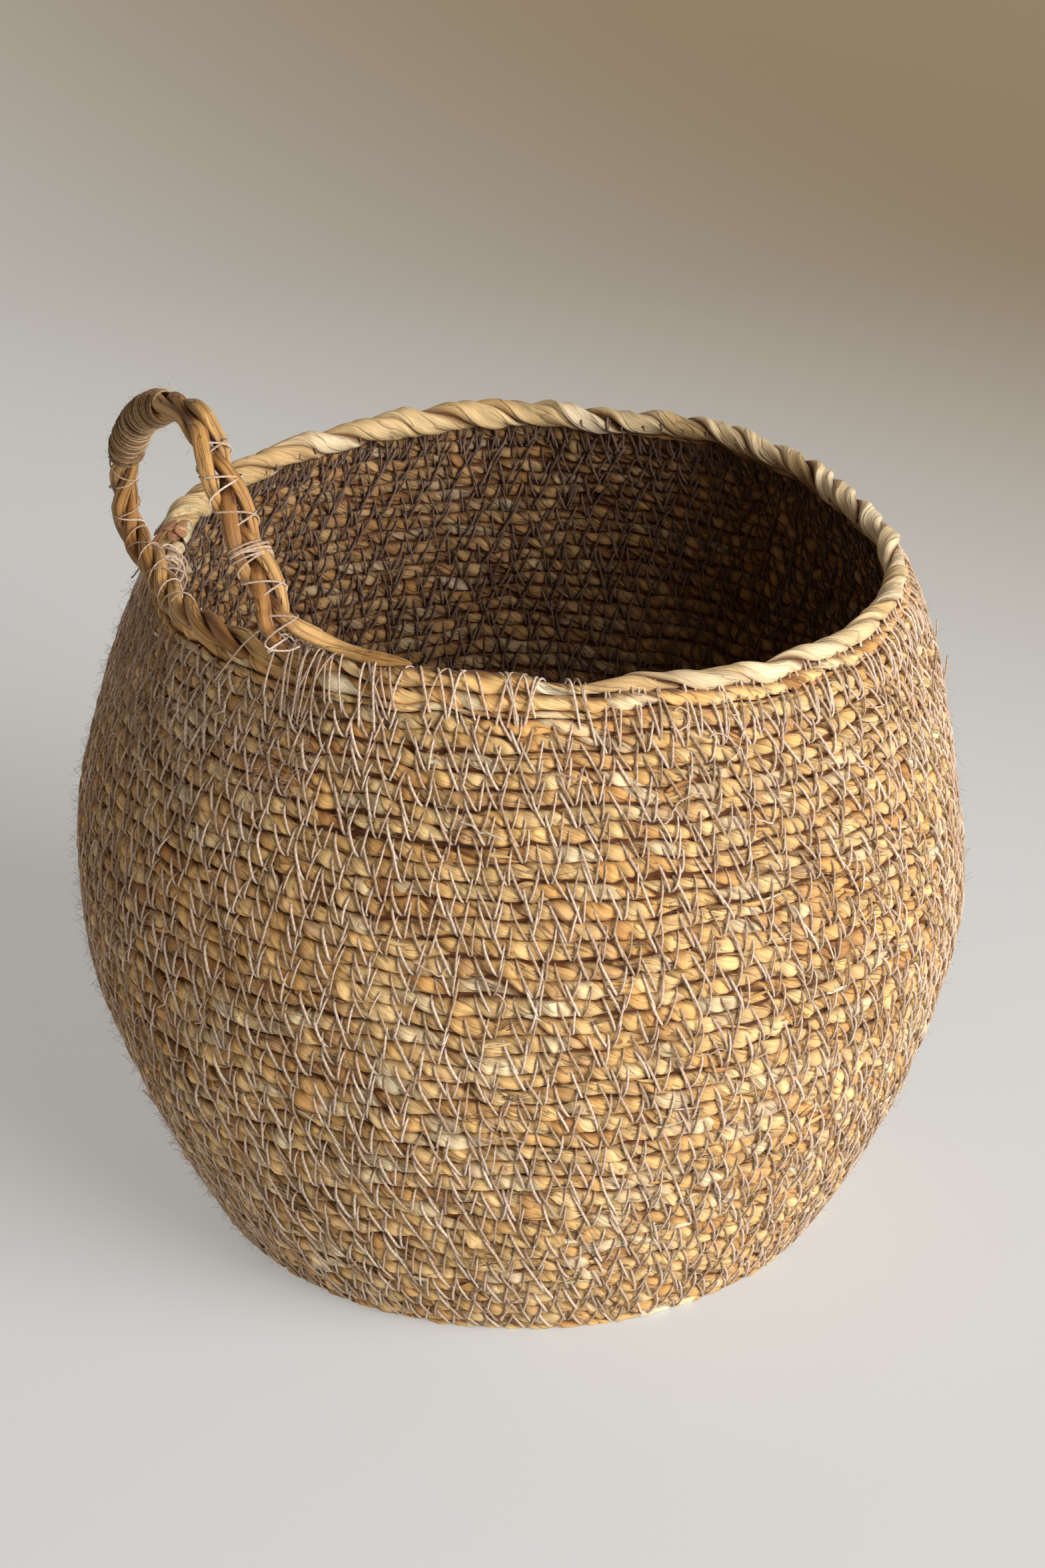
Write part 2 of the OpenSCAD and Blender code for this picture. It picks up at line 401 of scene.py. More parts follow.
GRASS_COLOURS = linear(
    (0.96, 0.78, 0.50),
    (1.00, 0.85, 0.60),
    (0.92, 0.70, 0.41),
    (0.78, 0.55, 0.31),
    (1.00, 0.93, 0.77),
    (0.92, 0.78, 0.54),
)
GRASS_SHARES = [0.34, 0.24, 0.20, 0.10, 0.06, 0.06]
RIM_COLOURS = linear((0.93, 0.81, 0.60), (0.99, 0.90, 0.74), (0.88, 0.73, 0.50))
HANDLE_COLOURS = linear((0.77, 0.58, 0.33), (0.67, 0.47, 0.25), (0.85, 0.68, 0.43))
CUT_COLOURS = linear((0.95, 0.89, 0.75), (0.80, 0.56, 0.40), (0.88, 0.76, 0.56))
JUTE_COLOURS = linear((0.84, 0.73, 0.63), (0.76, 0.64, 0.52), (0.90, 0.81, 0.72))
WHIPPING_COLOURS = linear((0.68, 0.54, 0.37), (0.79, 0.66, 0.49), (0.55, 0.41, 0.26))
FIBRE_COLOURS = linear((0.45, 0.29, 0.16), (0.66, 0.48, 0.28), (0.88, 0.76, 0.55))
CORE_COLOUR = GRASS_COLOURS[2]
# Painted shade: how much darker the grass is made deep between the strands and inside the basket, and the
# thread inside the basket
DEEP_SHADE = np.array([0.24, 0.14, 0.075])
INSIDE_SHADE = np.array([0.60, 0.54, 0.51])
INSIDE_THREAD_SHADE = np.array([0.34, 0.27, 0.25])


def pick(colours, count, shares=None):
    """Random colours from a list, each a little lighter or darker."""
    chosen = colours[RNG.choice(len(colours), count, p=shares)]
    return chosen * each(count, 0.86, 1.12)


def lobe_tints(turn, distance, colours, shares=None):
    """A colour for each visible lobe of a strand. It changes where the strand goes between two turns."""
    lobe = np.floor(turn / math.pi + 0.5).astype(int)
    lobe -= lobe.min()
    tints = pick(colours, lobe.max() + 2, shares)
    tints = (0.6 * tints[:-1] + 0.4 * tints[1:])[lobe]
    return tints * (1 + 0.09 * wander(distance, 0.25))[:, None]


def shaded(amount, shade):
    """Factor that takes a colour all the way to shade where amount is 1, and leaves it where it is 0."""
    return 1 - amount[..., None] * (1 - shade)


def shade_between_strands(x, y):
    """Painted shade: factor that darkens the points of a rope's section that lie deep between its strands,
    where shade falls.
    """
    return shaded(1 - smooth(0.68, 1.0, np.hypot(x, y)), DEEP_SHADE)


def shade_in_grooves_and_inside(x, y):
    """Painted shade: factor that darkens the grooves between turns, and the side of the rope inside the
    basket.
    """
    groove_shade = shaded(0.85 * smooth(0.74, 1.08, np.abs(y)), DEEP_SHADE)
    return groove_shade * shaded(smooth(0.3, -0.3, x), INSIDE_SHADE)


# ---------- Materials ----------

# How fast the plies of the jute thread go round it, in radians per metre
JUTE_TWIST = 2400


def new_material(name):
    material = bpy.data.materials.new(name)
    material.use_nodes = True
    tree = material.node_tree
    return material, tree, tree.nodes["Principled BSDF"]


def add_node(tree, kind, inputs=None, **settings):
    """A shader node. inputs are its sockets, as values or as other nodes' sockets."""
    node = tree.nodes.new(kind)
    for key, value in settings.items():
        setattr(node, key, value)
    for key, value in (inputs or {}).items():
        if isinstance(value, bpy.types.NodeSocket):
            tree.links.new(value, node.inputs[key])
        else:
            node.inputs[key].default_value = value
    return node


def calculate(tree, operation, *values):
    """The result of a calculation with sockets or numbers."""
    return add_node(tree, "ShaderNodeMath", dict(enumerate(values)), operation=operation).outputs[0]


def total(tree, *values):
    """The sum of sockets or numbers."""
    result = values[0]
    for value in values[1:]:
        result = calculate(tree, "ADD", result, value)
    return result


def stretched_noise(tree, grain, along, across, detail):
    """Noise with streaks that run along a strand: along and across are how fine it is each way."""
    scale = (along, across, across)
    place = add_node(tree, "ShaderNodeVectorMath", {0: grain, 1: scale}, operation="MULTIPLY").outputs[0]
    noise = add_node(tree, "ShaderNodeTexNoise", {"Vector": place, "Scale": 1.0, "Detail": detail})
    return noise.outputs["Fac"]


def remap(tree, value, low, high, to_low, to_high):
    node = add_node(
        tree,
        "ShaderNodeMapRange",
        {"Value": value, "From Min": low, "From Max": high, "To Min": to_low, "To Max": to_high},
    )
    return node.outputs["Result"]


def times(tree, colour, *values):
    """A colour made lighter or darker by values."""
    for value in values:
        scaled = add_node(tree, "ShaderNodeVectorMath", {0: colour, "Scale": value}, operation="SCALE")
        colour = scaled.outputs[0]
    return colour


def strand_inputs(tree):
    """The colour of a strand, and the place on it: distance along it, and cosine and sine round it."""
    tint = add_node(tree, "ShaderNodeAttribute", attribute_name="tint").outputs["Color"]
    grain = add_node(tree, "ShaderNodeAttribute", attribute_name="grain").outputs["Vector"]
    return tint, grain


def finish_strand(tree, shader, colour, height, depth, strength, specular, sheen):
    """Links a strand's colour, and a relief that is depth metres deep, to its shader."""
    tree.links.new(colour, shader.inputs["Base Color"])
    bump = add_node(tree, "ShaderNodeBump", {"Height": height, "Strength": strength, "Distance": depth})
    tree.links.new(bump.outputs["Normal"], shader.inputs["Normal"])
    shader.inputs["Specular IOR Level"].default_value = specular
    shader.inputs["Sheen Weight"].default_value = sheen


def blade_edges(tree, grain, count, slant):
    """0 at the edge of each overlapping blade of a strand, rising to 1 at the next edge round it."""
    parts = add_node(tree, "ShaderNodeSeparateXYZ", {0: grain}).outputs
    angle = calculate(tree, "ARCTAN2", parts["Z"], parts["Y"])
    around = calculate(tree, "MULTIPLY", angle, count / TAU)
    along = calculate(tree, "MULTIPLY", parts["X"], slant)
    stray = calculate(tree, "MULTIPLY", stretched_noise(tree, grain, 55, 0.8, 2), 2.2)
    return calculate(tree, "FRACT", total(tree, around, along, stray))


def grass_material(name, across, roughness, blades, edge_shade):
    """Dried seagrass: overlapping blades with fine grain, blotches, veins and a dull waxy sheen, with painted
    shade at the edge of each blade.
    """
    material, tree, shader = new_material(name)
    tint, grain = strand_inputs(tree)
    fine = stretched_noise(tree, grain, 130, 9 * across, 5)
    blotches = stretched_noise(tree, grain, 110, 1.3 * across, 3)
    veins = stretched_noise(tree, grain, 30, 7 * across, 2)
    vein_lines = remap(tree, veins, 0.36, 0.43, 0.8, 1.0)
    blade = blade_edges(tree, grain, blades, 14)
    colour = times(
        tree,
        tint,
        remap(tree, fine, 0.3, 0.7, 0.86, 1.12),
        remap(tree, blotches, 0.3, 0.7, 0.82, 1.16),
        vein_lines,
        # Painted shade along the edge of each overlapping blade
        remap(tree, blade, 0.0, 0.16, edge_shade, 1.0),
    )
    dullness = remap(tree, fine, 0.3, 0.7, roughness + 0.1, roughness - 0.08)
    tree.links.new(dullness, shader.inputs["Roughness"])
    height = total(tree, fine, vein_lines, blotches, remap(tree, blade, 0.0, 0.2, 0.0, 1.2))
    finish_strand(tree, shader, colour, height, 0.0006, strength=0.7, specular=0.36, sheen=0.06)
    return material


def jute_material(name):
    """Spun jute: two twisted plies with soft fibres, dull and a little hairy."""
    material, tree, shader = new_material(name)
    tint, grain = strand_inputs(tree)
    parts = add_node(tree, "ShaderNodeSeparateXYZ", {0: grain}).outputs
    twist = calculate(tree, "MULTIPLY", parts["X"], JUTE_TWIST)
    round_cos = calculate(tree, "COSINE", twist)
    round_sin = calculate(tree, "SINE", twist)
    first = calculate(tree, "MULTIPLY", parts["Y"], round_cos)
    both = calculate(tree, "MULTIPLY_ADD", parts["Z"], round_sin, first)
    plies = remap(tree, both, -1, 1, 0.8, 1.08)
    fibres = stretched_noise(tree, grain, 420, 5, 4)
    # The plies also darken the colour in the groove between them: painted shade
    colour = times(tree, tint, plies, remap(tree, fibres, 0.3, 0.7, 0.8, 1.15))
    shader.inputs["Roughness"].default_value = 0.88
    height = total(tree, fibres, plies)
    finish_strand(tree, shader, colour, height, 0.0003, strength=0.6, specular=0.2, sheen=0.25)
    return material


# ---------- Coil rope ----------

TWIST_LENGTH = 0.040
PLIES = 3
FINE_SIDES = 5
# Mean radius of the wall, to count its turns as a length of rope
MEAN_WALL_R = 0.18


def coil_strand(section, run, turn, sides):
    """One twisted strand of a coil rope: its rings, and a colour for each of their points.

    It stands proudest and widest where it faces out of the wall or into the basket, and it comes
    up blunt and goes under in a point.
    """
    centre, out, up, half_out, half_up = section
    turn = turn - 0.22 * np.sin(2 * turn)
    swell = 1.2 * wander(run, 0.012) + 0.8 * wander(run, 0.04)
    blunt = np.sin(turn + 0.4)
    facing = np.cos(2 * turn)
    middle = 0.44 + 0.08 * wander(run, 0.011) + 0.05 * facing
    thick = 0.49 * (1 + 0.16 * swell) * (1 + 0.12 * blunt)
    wide = 0.72 * (1 + 0.24 * swell) * (1 + 0.3 * blunt) * (1 + 0.08 * facing)
    folds = np.stack([0.10 + 0.08 * wander(run, 0.015), 3 * wander(run, 0.03)], axis=-1)
    centre = centre + 0.00045 * wander(run, 0.017)[:, None] * up
    rings, x, y = ply(centre, out, up, half_out, half_up, turn, middle, thick, wide, sides, folds)
    tints = lobe_tints(turn, run, GRASS_COLOURS, GRASS_SHARES)[:, None]
    # Painted shade deep between the strands, in the grooves between the turns and on the side inside the
    # basket
    return rings, tints * shade_between_strands(x, y) * shade_in_grooves_and_inside(x, y)


def coil_blade(section, run, twist):
    """The thin blade that shows between the strands of a coil rope here and there."""
    shows = smooth(-0.1, 0.4, wander(run, 0.03))
    turn = twist + math.pi / PLIES + 0.5 * wander(run, 0.02)
    middle = 0.35 + 0.52 * shows
    thick = 0.04 + 0.08 * shows
    wide = 0.08 + 0.24 * shows
    rings, x, y = ply(*section, turn, middle, thick, wide, FINE_SIDES, np.zeros((len(run), 2)))
    tints = lobe_tints(turn, run, GRASS_COLOURS * 0.9, GRASS_SHARES)[:, None]
    # Painted shade in the grooves between the turns and on the side inside the basket
    return rings, tints * shade_in_grooves_and_inside(x, y)


def coil_core(section, count, height):
    """The middle of a coil rope, which closes the gaps, painted dark as shade. height is a share of the
    rope's own.
    """
    still = np.zeros(count)
    rings, _, _ = ply(*section, still, still, still + 0.42, still + height, FINE_SIDES, np.zeros((count, 2)))
    return rings, np.broadcast_to(CORE_COLOUR * DEEP_SHADE, rings.shape)


def coil_plies(centre, out, up, half_out, half_up, sides, core=1.4):
    """Everything in a coil rope: its strands, a thin blade between them, and the core."""
    run = lengths(centre)
    section = (centre + 0.0006 * wander(run, 0.055)[:, None] * up, out, up, half_out, half_up)
    twist = -TAU * run / TWIST_LENGTH + 1.4 * wander(run, 0.033) + 2.6 * wander(run, 0.16)
    strands = []
    for number in range(PLIES):
        turn = twist + TAU * number / PLIES + 0.5 * wander(run, 0.02)
        strands.append(coil_strand(section, run, turn, sides))
    strands.append(coil_blade(section, run, twist))
    strands.append(coil_core(section, len(run), core))
    return strands


def first_turn(length):
    """The wall's turn at which a length of coil rope starts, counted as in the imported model."""
    return math.floor((length - 1) * TURNS / len(WALL_NODES) + 0.5)


def wall_span(index):
    """First and last turn of a length of coil rope. The last one runs on until it is level."""
    last = index == len(WALL_NODES) - 1
    return first_turn(index + 1), TURNS + 1 if last else first_turn(index + 2)


def wall_turns(spacing):
    """Turns all the way up the wall's spiral, so that each step is spacing long."""
    turns = np.linspace(0, TURNS + 1, 4000)
    around = TAU * wall_radius(groove(turns))
    run = np.concatenate([[0], np.cumsum((around[1:] + around[:-1]) / 2 * np.diff(turns))])
    return np.interp(np.arange(0, run[-1], spacing), run, turns)


def make_wall(material, dents, sides=10, spacing=0.00165):
    """The wall's rope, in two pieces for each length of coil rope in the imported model."""
    turns = wall_turns(spacing)
    azimuth = WALL_START + TAU * turns
    low, high = groove(turns - 1), groove(turns)
    run = turns * TAU * MEAN_WALL_R
    z = (low + high) / 2 + 0.0005 * wander(run, 0.04)
    slope = wall_slope(z)
    half_out = WALL_T / 2 * (1 + 0.08 * wander(run, 0.025))
    half_up = (high - low) / 2 * np.hypot(1, slope) * (1.0 + 0.12 * wander(run, 0.025))
    half_out = np.minimum(half_out, 0.0015 + half_up)
    centre = at(azimuth, wall_radius(z) - WALL_T / 2, np.maximum(z, half_up * 0.9))
    up = unit(at(azimuth, slope, 1.0))
    out = unit(at(azimuth, 1.0, -slope))
    strands = coil_plies(centre, out, up, half_out, half_up, sides)
    for index, node in enumerate(WALL_NODES):
        first, last = wall_span(index)
        middle = (first + last) / 2
        for part, start_turn, stop_turn in (("lower", first, middle), ("upper", middle, last)):
            start = np.searchsorted(turns, start_turn)
            stop = np.searchsorted(turns, stop_turn) + 1
            piece = Piece(f"{node}_rope_{part}")
            for number, (rings, tints) in enumerate(strands):
                pressed, dent = dents.sink(rings[start:stop])
                pressed = by_hand(pressed)
                pressed[..., 2] = np.maximum(pressed[..., 2], ROPE_FLOOR_GAP)
                # Painted shade: the rope is darkened where the thread presses it in, as in the thread's
                # shadow
                shade = 1 - 0.3 * dent[..., None]
                piece.add(pressed[None], (tints[start:stop] * shade)[None], shift=7.3 * number + index)
            piece.build(material, "basket", "seagrass_coil", node)


def make_base(material, sides=8, spacing=0.0024):
    """The flat base: the same rope in a spiral, which starts as a small knot in the middle."""
    turn_w = BASE_EDGE_R / BASE_TURNS
    turns = np.linspace(0.2, BASE_TURNS - 0.5, 3000)
    run = lengths(at(TAU * turns, turns * turn_w, 0.0))
    turns = np.interp(np.arange(0, run[-1], spacing), run, turns)
    azimuth = WALL_START + TAU * turns
    half_out = np.full(len(turns), turn_w / 2 * 1.06)
    half_up = np.full(len(turns), 0.0036)
    centre = at(azimuth, turns * turn_w, 0.0044)
    strands = coil_plies(centre, outward(azimuth), straight_up(centre), half_out, half_up, sides)
    piece = Piece("base_rope")
    for number, (rings, tints) in enumerate(strands):
        piece.add(rings[None], tints[None], shift=5.1 * number)
    piece.build(material, "basket", "seagrass_coil", "base_coil")


# ---------- Sewing ----------

STITCHES_PER_TURN = 76
STITCH_SHIFT = 0.235
# The first and the last turn that the sewing crosses, counted from the floor
FIRST_SEWN_TURN = 1.2
LAST_SEWN_TURN = TURNS + 0.6
# How the sewing drifts to and fro from turn to turn. Each one is
# (waves round the basket, size in stitches, change per turn, phase).
SEWING_DRIFT = [(1, 0.5, 0.31, 0.0), (2, 0.45, 0.83, 1.9), (4, 0.3, 1.9, 0.7), (7, 0.2, 2.6, 4.4)]


def stitch_lines(left, right, low_turns, high_turns, side, steps=11):
    """Lines of thread over the wall. left and right are azimuths of each thread's two ends."""
    share = np.linspace(0, 1, steps)
    azimuth = left[:, None] * (1 - share) + right[:, None] * share
    turn = high_turns[:, None] * (1 - share) + low_turns[:, None] * share
    azimuth = azimuth + each(len(left), -0.0036, 0.0036) * np.sin(math.pi * share)
    z = groove(turn)
    # The thread lies on the wall, and each end dives into it
    lift = 0.0005 - 0.0036 * np.abs(2 * share - 1) ** 4
    face = wall_radius(z) - (side < 0) * WALL_T
    return at(azimuth, face + side * lift, z)


def sew_span(start, stop, side):
    """Zigzag stitches, two turns deep, on one face of the wall: (lines, radius) of each set of threads."""
    per_turn = STITCHES_PER_TURN + STITCH_SHIFT
    first = max(start, FIRST_SEWN_TURN) * per_turn
    last = min(stop, LAST_SEWN_TURN) * per_turn
    turns = np.floor(np.arange(first, last)) / per_turn
    count = len(turns)
    azimuth = WALL_START + TAU * turns + 0.4 * (side < 0)
    drift = sum(
        size * np.sin(waves_round * azimuth + change * turns + phase)
        for waves_round, size, change, phase in SEWING_DRIFT
    )
    azimuth = azimuth + drift * TAU / per_turn + RNG.normal(0, 0.0035, count)
    radius = wall_radius(groove(turns - 1))
    down_w = RNG.normal(0.0068, 0.0010, count) / radius
    up_w = RNG.normal(0.0042, 0.0011, count) / radius
    high = np.minimum(turns + RNG.normal(0, 0.07, count), TURNS)
    low = np.maximum(turns - 2 + RNG.normal(0, 0.07, count), 0)
    bottom = azimuth + down_w
    falling = stitch_lines(azimuth, bottom, low, high, side)
    rising = stitch_lines(bottom + up_w, bottom + 0.0008 / radius, low, high, side)
    return [(falling, THREAD_R * 1.05), (rising, THREAD_R * 0.9)]


def rim_stitch_lines(side, direction, count=118, steps=12):
    """Threads from the neck's second turn up to the side of the thick rim rope."""
    azimuth = TAU * np.arange(count) / count + RNG.normal(0, 0.006, count)
    azimuth = azimuth[thick_rim(azimuth)]
    count = len(azimuth)
    share = np.linspace(0, 1, steps)
    along = azimuth[:, None] + near(count, 0.021, 0.004) * direction * share
    low = groove(TURNS - 2 + near(count, 0, 0.15))
    half = rim_rope_r(along)
    rim_z = RIM_TOP - half
    top = rim_z + half * each(count, -0.3, 0.5)
    z = low + (top - low) * share
    on_rim = np.clip((z - rim_z) / half, -1, 1)
    wall_face = wall_radius(np.minimum(z, WALL_TOP)) - (side < 0) * WALL_T
    rim_face = RIM_R + side * half * np.sqrt(1 - on_rim**2)
    face = wall_face + (rim_face - wall_face) * smooth(WALL_TOP - 0.001, rim_z, z)
    lift = 0.0007 - 0.0036 * np.abs(2 * share - 1) ** 5
    return at(along, face + side * lift, z)


def over_rim(inner, outer, drop_in, drop_out, half, top):
    """A thread from the wall's inner face, over the rim, and down its outer face. Angles are azimuths."""
    middle = (inner + outer) / 2
    z_in, z_out = RIM_Z - drop_in, RIM_Z - drop_out
    face_in, face_out = wall_radius(z_in) - WALL_T, wall_radius(z_out)
    corners = [
        at(inner, face_in + 0.003, z_in - 0.002),
        at(inner, face_in - 0.0006, z_in),
        at((inner + middle) / 2, RIM_R - half, RIM_Z + 0.3 * top),
        at(middle, RIM_R + 0.001, RIM_Z + top),
        at((outer + middle) / 2, RIM_R + half + 0.002, RIM_Z + 0.2 * top),
        at(outer, face_out + 0.0006, z_out),
        at(outer, face_out - 0.003, z_out - 0.002),
    ]
    return curve_through(corners, 0.0013)


# Painted shade: the thread outside is 1, and inside the basket it is darkened as if in shade
SIDE_SHADES = {1: 1.0, -1: INSIDE_THREAD_SHADE}


class Dents:
    """How hard the thread presses on each face of the wall, in a grid of azimuth and height."""

    cell = 0.0005
    spread = 0.0012
    depth = 0.0011

    def __init__(self):
        self.shape = (int(TAU * BELLY_R / self.cell), int(1.1 * RIM_TOP / self.cell))
        self.faces = {1: np.zeros(self.shape), -1: np.zeros(self.shape)}

    def place(self, points):
        azimuth = np.arctan2(points[..., 1], points[..., 0]) % TAU
        column = (azimuth / TAU * self.shape[0]).astype(int) % self.shape[0]
        row = np.clip(points[..., 2] / self.cell, 0, self.shape[1] - 1).astype(int)
        return column, row

    def press(self, lines, side):
        share = np.arange(6)[:, None] / 6
        start, stop = lines[:, :-1, None], lines[:, 1:, None]
        self.faces[side][self.place(start + (stop - start) * share)] = 1

    def soften(self):
        """Spreads each thread's mark into a dent. 1 is right under one thread."""
        width = self.spread / self.cell
        columns = np.fft.fftfreq(self.shape[0])[:, None]
        rows = np.fft.rfftfreq(self.shape[1])
        blur = np.exp(-2 * (math.pi * width) ** 2 * (columns**2 + rows**2))
        for side, marks in self.faces.items():
            soft = np.fft.irfft2(np.fft.rfft2(marks) * blur, s=self.shape)
            self.faces[side] = np.clip(soft * width * math.sqrt(TAU), 0, 1.3)

    def sink(self, points):
        """The points of the wall's rope pressed in under the thread, and how much each one is."""
        radius = np.hypot(points[..., 0], points[..., 1])
        proud = (radius - wall_radius(points[..., 2])) / (WALL_T / 2) + 1
        place = self.place(points)
        dent = np.where(proud > 0, self.faces[1][place], self.faces[-1][place])
        dent = dent * np.clip(np.abs(proud), 0, 1) ** 2
        share = 1 - self.depth * dent * np.sign(proud) / radius
        return points * np.stack([share, share, np.ones_like(share)], axis=-1), dent


def add_on_wall(piece, lines, radii, tints, sides=5, flat=1.0):
    """Adds thin strands along lines that lie on the wall, each of one colour."""
    out = unit(lines * np.array([1, 1, 0]))
    rings = by_hand(tubes(lines, radii, out, sides, flat))
    piece.add(rings, tints[:, None, None], shift=RNG.uniform(0, 9, len(lines)))


def add_threads(piece, lines, radius, shade=1.0):
    """Round threads along lines over the wall, each a little different in colour and thickness, and darkened
    by any painted shade.
    """
    count = len(lines)
    radii = radius * each(count, 0.85, 1.18)
    add_on_wall(piece, lines, radii, pick(JUTE_COLOURS * shade, count))


def make_wall_stitches(material, dents):
    """The jute stitches of the wall, one piece for each length of rope."""
    for index, node in enumerate(WALL_NODES):
        piece = Piece(node.replace("coil", "stitches"))
        for side in (1, -1):
            for lines, radius in sew_span(*wall_span(index), side):
                dents.press(lines, side)
                # Threads inside the basket get painted shade
                add_threads(piece, lines, radius, SIDE_SHADES[side])
        piece.build(material, "basket", "jute_thread")


def make_rim_stitches(material, dents):
    """The threads that hold the rim: up to the thick rope, and over the ordinary turn right of the handle."""
    piece = Piece("rim_stitches")
    for side in (1, -1):
        for direction in (1, -1):
            lines = rim_stitch_lines(side, direction)
            dents.press(lines, side)
            # Threads inside the basket get painted shade
            add_threads(piece, lines, THREAD_R, SIDE_SHADES[side])
    for azimuth in np.arange(FRONT_FOOT, THICK_RIM_START, 0.026):
        slant = RNG.uniform(0.03, 0.09) * RNG.choice([-1, 1])
        drops = RNG.uniform([0.010, 0.006], [0.014, 0.011])
        azimuth = azimuth + RNG.normal(0, 0.006)
        line = over_rim(azimuth, azimuth + slant, *drops, RIM_TURN_R + 0.0012, PACKED_RIM_R - 0.0001)
        add_threads(piece, line[None], THREAD_R)
    piece.build(material, "basket", "jute_thread", "rim_stitching")


# ---------- Rim ----------


def make_rim(material, sides=18, spacing=0.0016):
    """The thick pale rope of two strands, from right of the handle round to behind its rear foot."""
    azimuth = np.arange(THICK_RIM_START, THICK_RIM_END, spacing / RIM_R)
    run = (azimuth - azimuth[0]) * RIM_R
    grow = 0.4 + 0.6 * smooth(0, 0.03, run) * smooth(run[-1], run[-1] - 0.012, run)
    radius = rim_rope_r(azimuth)
    centre = at(azimuth, RIM_R, RIM_TOP - radius)
    half = radius * (1 + 0.07 * wander(run, 0.05)) * grow
    section = (centre, outward(azimuth), straight_up(centre), half, half)
    # The rope is twisted tightest where the first crest of this wave is
    twist = RIM_TWISTS * azimuth + 4 * np.sin(azimuth - math.radians(45))
    for side, name in enumerate(("rim_strand_a", "rim_strand_b")):
        turn = -twist + math.pi * side + 0.5 * wander(run, 0.09)
        turn = turn - 0.2 * np.sin(2 * turn)
        blunt = np.sin(turn + 0.4)
        swell = (1 + 0.1 * wander(run, 0.03)) * (1 + 0.12 * blunt)
        folds = np.stack([0.06 + 0.03 * wander(run, 0.03), 3 * wander(run, 0.08)], axis=-1)
        middle = 0.42 + 0.04 * wander(run, 0.03)
        rings, x, y = ply(*section, turn, middle, 0.57 * swell, 0.90 * swell, sides, folds)
        # Painted shade deep between the rim rope's two strands
        tints = lobe_tints(turn, run, RIM_COLOURS)[:, None] * shade_between_strands(x, y)
        piece = Piece(name + "_rope")
        piece.add(by_hand(rings)[None], tints[None], shift=3.7 * side)
        piece.build(material, "basket", "seagrass_rim", name)


def make_rim_turn(material, name, node, start, stop, below, sides=10, spacing=0.0014):
    """An ordinary turn of coil rope on the rim. One that is below fills the room under what is on top."""
    azimuth = np.arange(start, stop, spacing / RIM_R)
    run = (azimuth - azimuth[0]) * RIM_R
    ends = 0.3 + 0.7 * smooth(0, 0.02, run) * smooth(run[-1], run[-1] - 0.025, run)
    if below:
        room = (RIM_TOP - 2 * rim_rope_r(azimuth) - WALL_TOP) / 2
        radius, z, half_up = RIM_R + 0.0030, WALL_TOP + room, (room + 0.0006) * ends
    else:
        radius, z, half_up = RIM_R + 0.0003, RIM_TOP - RIM_TURN_R, RIM_TURN_R * ends
    centre = at(azimuth, radius, z + 0.0003 * wander(run, 0.04))
    half_out = 0.0043 * ends * (1 + 0.08 * wander(run, 0.03))
    strands = coil_plies(centre, outward(azimuth), straight_up(centre), half_out, half_up, sides, core=0.8)
    piece = Piece(name)
    for number, (rings, tints) in enumerate(strands):
        piece.add(by_hand(rings)[None], tints[None], shift=4.3 * number)
    piece.build(material, "basket", "seagrass_coil", node)


def make_rim_turns(material):
    """The ordinary turn on top where the thick rope is left out, and the one that fills the room below."""
    overlap = 0.05
    lower = (THICK_RIM_END - TAU - overlap, TAU + LOWER_TURN_END)
    upper = (FRONT_FOOT - overlap, THICK_RIM_START + overlap)
    make_rim_turn(material, "rim_lower_turn", "rim_strand_b", *lower, below=True)
    make_rim_turn(material, "rim_upper_turn", "rim_strand_a", *upper, below=False)


def make_cut_ends(material, count=9, steps=9):
    """Cut ends of the rim rope's blades, which splay out behind the rear foot."""
    share = np.linspace(0, 1, steps)
    start = np.radians(RNG.uniform(166, 181, count))[:, None]
    reach = each(count, 0.08, 0.16)
    lay = np.linspace(-1.0, 1.2, count)[:, None] + each(count, -0.2, 0.2)
    off = RIM_THICK_R + 0.0003 + each(count, 0.0002, 0.0025) * share**2
    azimuth = start + reach * share
    lines = by_hand(at(azimuth, RIM_R + off * np.sin(lay), RIM_TOP - RIM_THICK_R + off * np.cos(lay)))
    up = unit(at(azimuth, np.sin(lay), np.cos(lay)))
    radii = each(count, 0.0022, 0.0036) * np.sin(math.pi * (0.2 + 0.62 * share)) ** 0.5
    piece = Piece("rim_cut_ends")
    tints = pick(CUT_COLOURS, count)[:, None, None]
    piece.add(tubes(lines, radii, up, 12, 0.22), tints, shift=RNG.uniform(0, 9, count))
    piece.build(material, "basket", "seagrass_rim")


# ---------- Handle ----------

HANDLE_OUT = outward(HANDLE_AZIMUTH)
HANDLE_CHORD = outward(HANDLE_AZIMUTH + math.pi / 2)
HANDLE_UP = math.cos(HANDLE_LEAN) * np.array([0, 0, 1]) + math.sin(HANDLE_LEAN) * HANDLE_OUT
HANDLE_ORIGIN = HANDLE_PLANE_R * HANDLE_OUT + np.array([0, 0, RIM_Z])
HANDLE_SIDE = np.cross(HANDLE_UP, HANDLE_CHORD)


def handle_plane(points):
    """Points of the handle's own plane, as points of the room."""
    return HANDLE_ORIGIN + points[..., :1] * HANDLE_CHORD + points[..., 1:] * HANDLE_UP


def by_rim(azimuth, out, up):
    """A point beside the rim rope: out from its middle and up from it, as it really lies."""
    return by_hand(at(math.radians(azimuth), RIM_R + out, RIM_Z + up))


